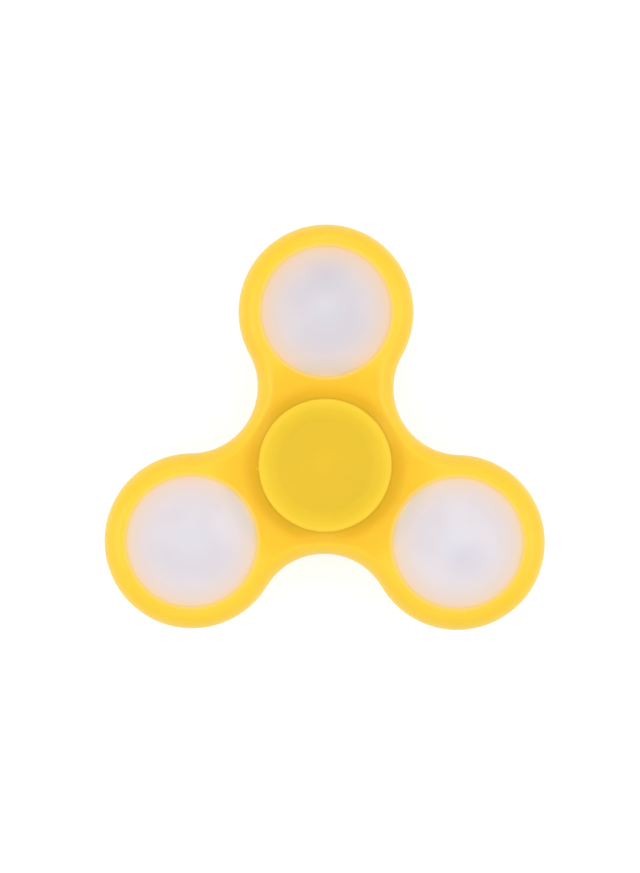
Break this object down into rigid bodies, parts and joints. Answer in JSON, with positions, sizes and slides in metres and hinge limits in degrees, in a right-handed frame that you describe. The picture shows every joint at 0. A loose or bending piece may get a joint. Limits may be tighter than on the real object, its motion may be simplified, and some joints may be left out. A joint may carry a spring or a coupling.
{
  "type": "fidget spinner",
  "caption": "Three-lobed hand spinner in yellow plastic: round frosted light pods in the lobes, and a central ball bearing held between two dished finger pads.",
  "frame": {"origin": "centre of the ball bearing, on the spin axis at its mid-plane", "axes": "+Z along the spin axis, towards the lens side; +Y from the spin axis through the first light pod; +X to the right of it, seen from the lens side"},
  "size_m": [0.075, 0.0689, 0.015],
  "materials": {
    "body_plastic": "satin",
    "pad_plastic": "satin",
    "lens_plastic": "satin",
    "cover_plastic": "satin",
    "button_plastic": "satin",
    "race_steel": "polished",
    "ball_steel": "polished",
    "pressed_steel": "satin",
    "board_laminate": "satin",
    "led_package": "satin",
    "controller_resin": "satin",
    "cell_steel": "satin",
    "spring_steel": "polished",
    "switch_plastic": "satin"
  },
  "bodies": {
    "hub": {"front_finger_pad": "pad_plastic", "rear_finger_pad": "pad_plastic", "bearing_inner_race": "race_steel"},
    "rotor": {"spinner_body": "body_plastic", "bearing_outer_race": "race_steel", "bearing_shield_front": "pressed_steel", "bearing_shield_rear": "pressed_steel", "pod_1_lens": "lens_plastic", "pod_1_rear_cover": "cover_plastic", "pod_1_board": "board_laminate", "pod_1_coin_cell": "cell_steel", "pod_1_cell_clip": "spring_steel", "pod_1_controller": "controller_resin", "pod_1_led_a": "led_package", "pod_1_led_b": "led_package", "pod_1_led_c": "led_package", "pod_1_switch_base": "switch_plastic", "pod_1_switch_cover": "spring_steel", "pod_1_switch_dome": "spring_steel", "pod_2_lens": "lens_plastic", "pod_2_rear_cover": "cover_plastic", "pod_2_board": "board_laminate", "pod_2_coin_cell": "cell_steel", "pod_2_cell_clip": "spring_steel", "pod_2_controller": "controller_resin", "pod_2_led_a": "led_package", "pod_2_led_b": "led_package", "pod_2_led_c": "led_package", "pod_2_switch_base": "switch_plastic", "pod_2_switch_cover": "spring_steel", "pod_2_switch_dome": "spring_steel", "pod_3_lens": "lens_plastic", "pod_3_rear_cover": "cover_plastic", "pod_3_board": "board_laminate", "pod_3_coin_cell": "cell_steel", "pod_3_cell_clip": "spring_steel", "pod_3_controller": "controller_resin", "pod_3_led_a": "led_package", "pod_3_led_b": "led_package", "pod_3_led_c": "led_package", "pod_3_switch_base": "switch_plastic", "pod_3_switch_cover": "spring_steel", "pod_3_switch_dome": "spring_steel"},
    "cage": {"bearing_cage_front": "pressed_steel", "bearing_cage_rear": "pressed_steel"},
    "ball_1": {"bearing_ball_1": "ball_steel"},
    "ball_2": {"bearing_ball_2": "ball_steel"},
    "ball_3": {"bearing_ball_3": "ball_steel"},
    "ball_4": {"bearing_ball_4": "ball_steel"},
    "ball_5": {"bearing_ball_5": "ball_steel"},
    "ball_6": {"bearing_ball_6": "ball_steel"},
    "ball_7": {"bearing_ball_7": "ball_steel"},
    "button_1": {"pod_1_button": "button_plastic", "pod_1_switch_plunger": "switch_plastic"},
    "button_2": {"pod_2_button": "button_plastic", "pod_2_switch_plunger": "switch_plastic"},
    "button_3": {"pod_3_button": "button_plastic", "pod_3_switch_plunger": "switch_plastic"}
  },
  "joints": [
    {"name": "rotor_spin", "type": "hinge", "parent": "hub", "child": "rotor", "pos_m": [0, 0, 0], "axis": [0, 0, 1], "continuous": true},
    {"name": "cage_spin", "type": "hinge", "parent": "hub", "child": "cage", "pos_m": [0, 0, 0], "axis": [0, 0, 1], "continuous": true},
    {"name": "ball_spin_1", "type": "hinge", "parent": "cage", "child": "ball_1", "pos_m": [0, 0.0075, 0], "axis": [0, 0, 1], "continuous": true},
    {"name": "ball_spin_2", "type": "hinge", "parent": "cage", "child": "ball_2", "pos_m": [-0.00586, 0.00468, 0], "axis": [0, 0, 1], "continuous": true},
    {"name": "ball_spin_3", "type": "hinge", "parent": "cage", "child": "ball_3", "pos_m": [-0.00731, -0.00167, 0], "axis": [0, 0, 1], "continuous": true},
    {"name": "ball_spin_4", "type": "hinge", "parent": "cage", "child": "ball_4", "pos_m": [-0.00325, -0.00676, 0], "axis": [0, 0, 1], "continuous": true},
    {"name": "ball_spin_5", "type": "hinge", "parent": "cage", "child": "ball_5", "pos_m": [0.00325, -0.00676, 0], "axis": [0, 0, 1], "continuous": true},
    {"name": "ball_spin_6", "type": "hinge", "parent": "cage", "child": "ball_6", "pos_m": [0.00731, -0.00167, 0], "axis": [0, 0, 1], "continuous": true},
    {"name": "ball_spin_7", "type": "hinge", "parent": "cage", "child": "ball_7", "pos_m": [0.00586, 0.00468, 0], "axis": [0, 0, 1], "continuous": true},
    {"name": "button_press_1", "type": "slide", "parent": "rotor", "child": "button_1", "axis": [0, 0, 1], "range_m": [0, 0.00035], "stiffness_N_per_m": 4000, "springref_m": -0.0001, "deforming": ["pod_1_switch_dome"]},
    {"name": "button_press_2", "type": "slide", "parent": "rotor", "child": "button_2", "axis": [0, 0, 1], "range_m": [0, 0.00035], "stiffness_N_per_m": 4000, "springref_m": -0.0001, "deforming": ["pod_2_switch_dome"]},
    {"name": "button_press_3", "type": "slide", "parent": "rotor", "child": "button_3", "axis": [0, 0, 1], "range_m": [0, 0.00035], "stiffness_N_per_m": 4000, "springref_m": -0.0001, "deforming": ["pod_3_switch_dome"]}
  ],
  "couplings": [
    {"joint": "cage_spin", "follows": "rotor_spin", "ratio": 0.63227},
    {"joint": "ball_spin_1", "follows": "rotor_spin", "ratio": 1.7579},
    {"joint": "ball_spin_2", "follows": "rotor_spin", "ratio": 1.7579},
    {"joint": "ball_spin_3", "follows": "rotor_spin", "ratio": 1.7579},
    {"joint": "ball_spin_4", "follows": "rotor_spin", "ratio": 1.7579},
    {"joint": "ball_spin_5", "follows": "rotor_spin", "ratio": 1.7579},
    {"joint": "ball_spin_6", "follows": "rotor_spin", "ratio": 1.7579},
    {"joint": "ball_spin_7", "follows": "rotor_spin", "ratio": 1.7579}
  ]
}
